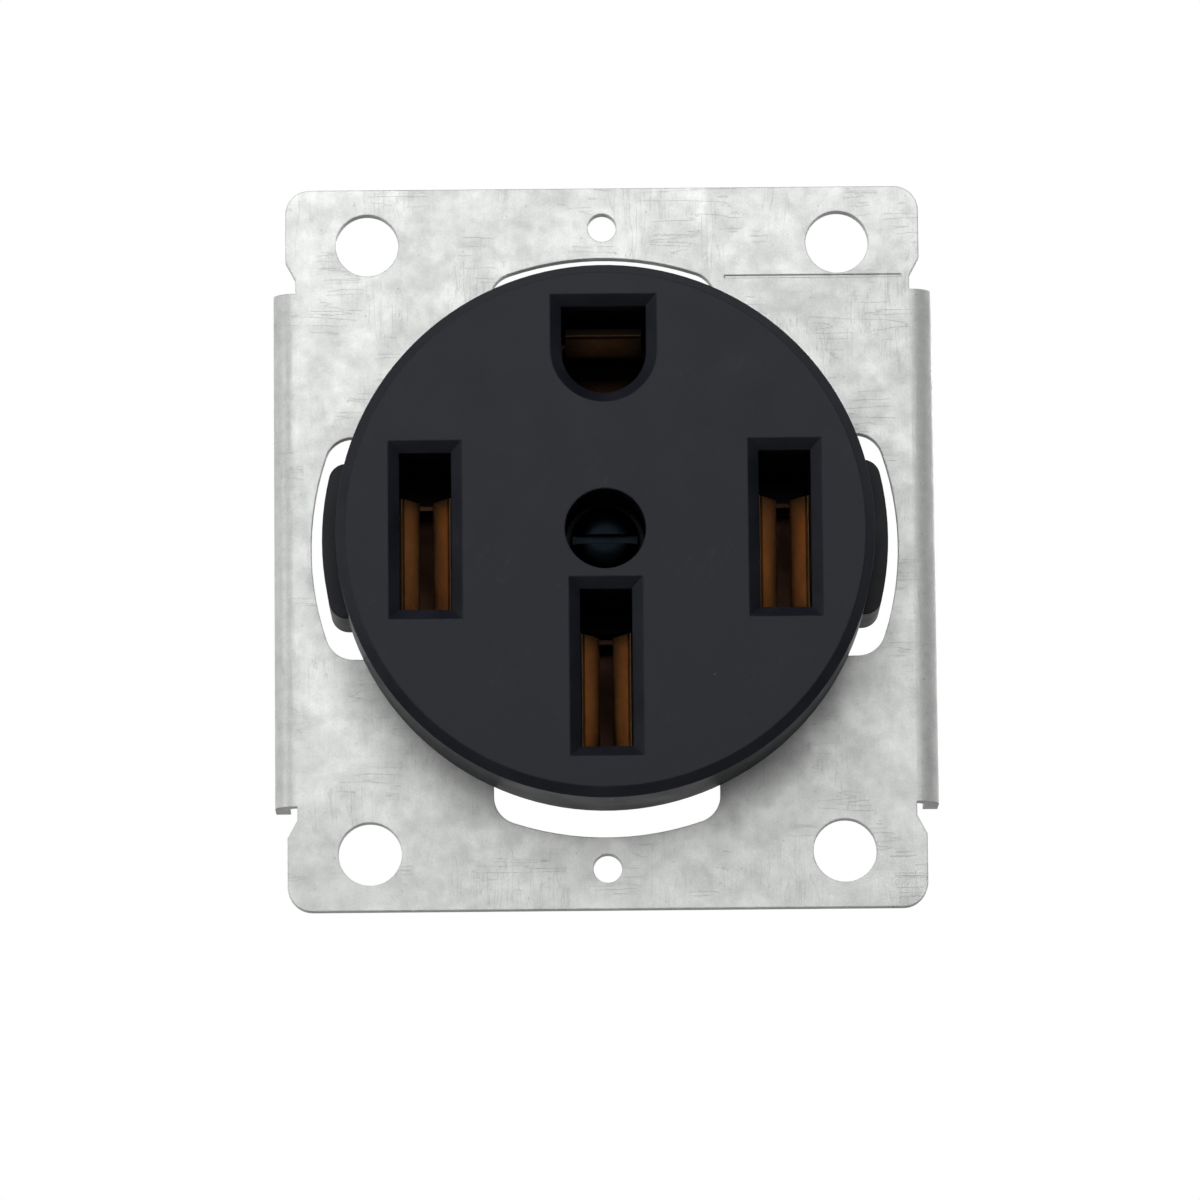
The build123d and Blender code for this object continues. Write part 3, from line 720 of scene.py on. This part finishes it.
# %% Camera
# The angles are from straight in front, and frame_width is what the picture spans at the aim
view_below = math.radians(9.1)
view_aside = math.radians(-0.37)
camera_distance = 0.85
frame_width = 0.12128
aim = Vector((-0.00054, -0.0015, -0.0055))
roll = math.radians(-0.55)

camera_data = bpy.data.cameras.new("camera")
camera_data.lens = camera_data.sensor_width * camera_distance / frame_width
camera = bpy.data.objects.new("camera", camera_data)
bpy.context.scene.collection.objects.link(camera)
toward_camera = Vector((
    math.sin(view_aside) * math.cos(view_below),
    -math.cos(view_aside) * math.cos(view_below),
    -math.sin(view_below),
))
camera.location = aim + toward_camera * camera_distance
facing = (-toward_camera).to_track_quat("-Z", "Y").to_matrix()
camera.rotation_euler = (facing @ Matrix.Rotation(roll, 3, "Z")).to_euler()
camera_data.clip_start = 0.01
bpy.context.scene.camera = camera
print("lens in mm:", round(camera_data.lens, 1))

# %% [markdown]
# Soft studio light: a wide lamp in front and above, another one low on the left, a large one behind
# for the back, and a dim white world that fills the shadows. The black face takes its tone from
# the front lamp's soft reflection, while its bevels, turned away from that lamp, stay dark.
# The picture's background is pure white. That comes from the Light Path node: rays that reach the
# world straight from the camera, through glass, or by a mirror reflection of what is behind the
# object, see white at strength 1, while the light that falls on the object stays at a plain level.

# %% Light and world
def area_lamp(name, place_at, size, power):
    """A square lamp that looks at the object."""
    lamp = bpy.data.lights.new(name, "AREA")
    lamp.size = size
    lamp.energy = power
    made = bpy.data.objects.new(name, lamp)
    made.location = place_at
    made.rotation_euler = (-Vector(place_at)).to_track_quat("-Z", "Y").to_euler()
    bpy.context.scene.collection.objects.link(made)


area_lamp("front_lamp", (-0.04, -0.62, 0.26), 0.5, 2.6)
area_lamp("left_lamp", (-1.1, -0.5, -0.1), 0.5, 3.0)
area_lamp("back_lamp", (0.4, 1.1, 0.6), 0.8, 9.0)

world = bpy.data.worlds.new("studio")
world.use_nodes = True
bpy.context.scene.world = world
world_tree = world.node_tree
background = world_tree.nodes["Background"]
background.inputs["Color"].default_value = (1.0, 1.0, 1.0, 1.0)
fill_level = 0.16
behind_starts, behind_full = -0.1, 0.3
rays = add(world_tree, "LightPath")
toward = add(world_tree, "TexCoord")
heading = add(world_tree, "SeparateXYZ", {"Vector": toward.outputs["Generated"]})
behind = remap(world_tree, heading.outputs["Y"], behind_starts, behind_full)
mirrored = math_node(world_tree, "MULTIPLY", rays.outputs["Is Glossy Ray"], behind)
seen = math_node(world_tree, "MAXIMUM", rays.outputs["Is Camera Ray"], mirrored)
seen = math_node(world_tree, "MAXIMUM", seen, rays.outputs["Is Transmission Ray"])
world_tree.links.new(remap(world_tree, seen, 0.0, 1.0, fill_level, 1.0), background.inputs["Strength"])

bpy.context.scene.view_settings.view_transform = "Standard"

# %% [markdown]
# The receptacle is fixed to a wall or box, so it stands on nothing here. A plain pale floor lies
# well below, out of this picture, and bounces a little light up. Other views see it. There an
# emission that only reaches the camera makes it nearly as white as the background, so that it
# adds no light to the object.

# %% Floor
floor_level = -0.8
floor_half = 4.0
floor_colour = (0.6, 0.6, 0.6, 1.0)
floor_glow = 0.85
floor_mesh = bpy.data.meshes.new("floor")
quarters = ((-1, -1), (1, -1), (1, 1), (-1, 1))
corners = [(x * floor_half, y * floor_half, floor_level) for x, y in quarters]
floor_mesh.from_pydata(corners, [], [(0, 1, 2, 3)])
floor = bpy.data.objects.new("floor", floor_mesh)
bpy.context.scene.collection.objects.link(floor)
floor_material, floor_tree, floor_shader = start_material("floor_pale", Roughness=0.8)
floor_shader.inputs["Base Color"].default_value = floor_colour
floor_shader.inputs["Emission Color"].default_value = (1.0, 1.0, 1.0, 1.0)
floor_rays = add(floor_tree, "LightPath")
seen_direct = math_node(
    floor_tree, "MAXIMUM", floor_rays.outputs["Is Camera Ray"], floor_rays.outputs["Is Transmission Ray"]
)
glow_when_seen = math_node(floor_tree, "MULTIPLY", seen_direct, floor_glow)
floor_tree.links.new(glow_when_seen, floor_shader.inputs["Emission Strength"])
floor_mesh.materials.append(floor_material)
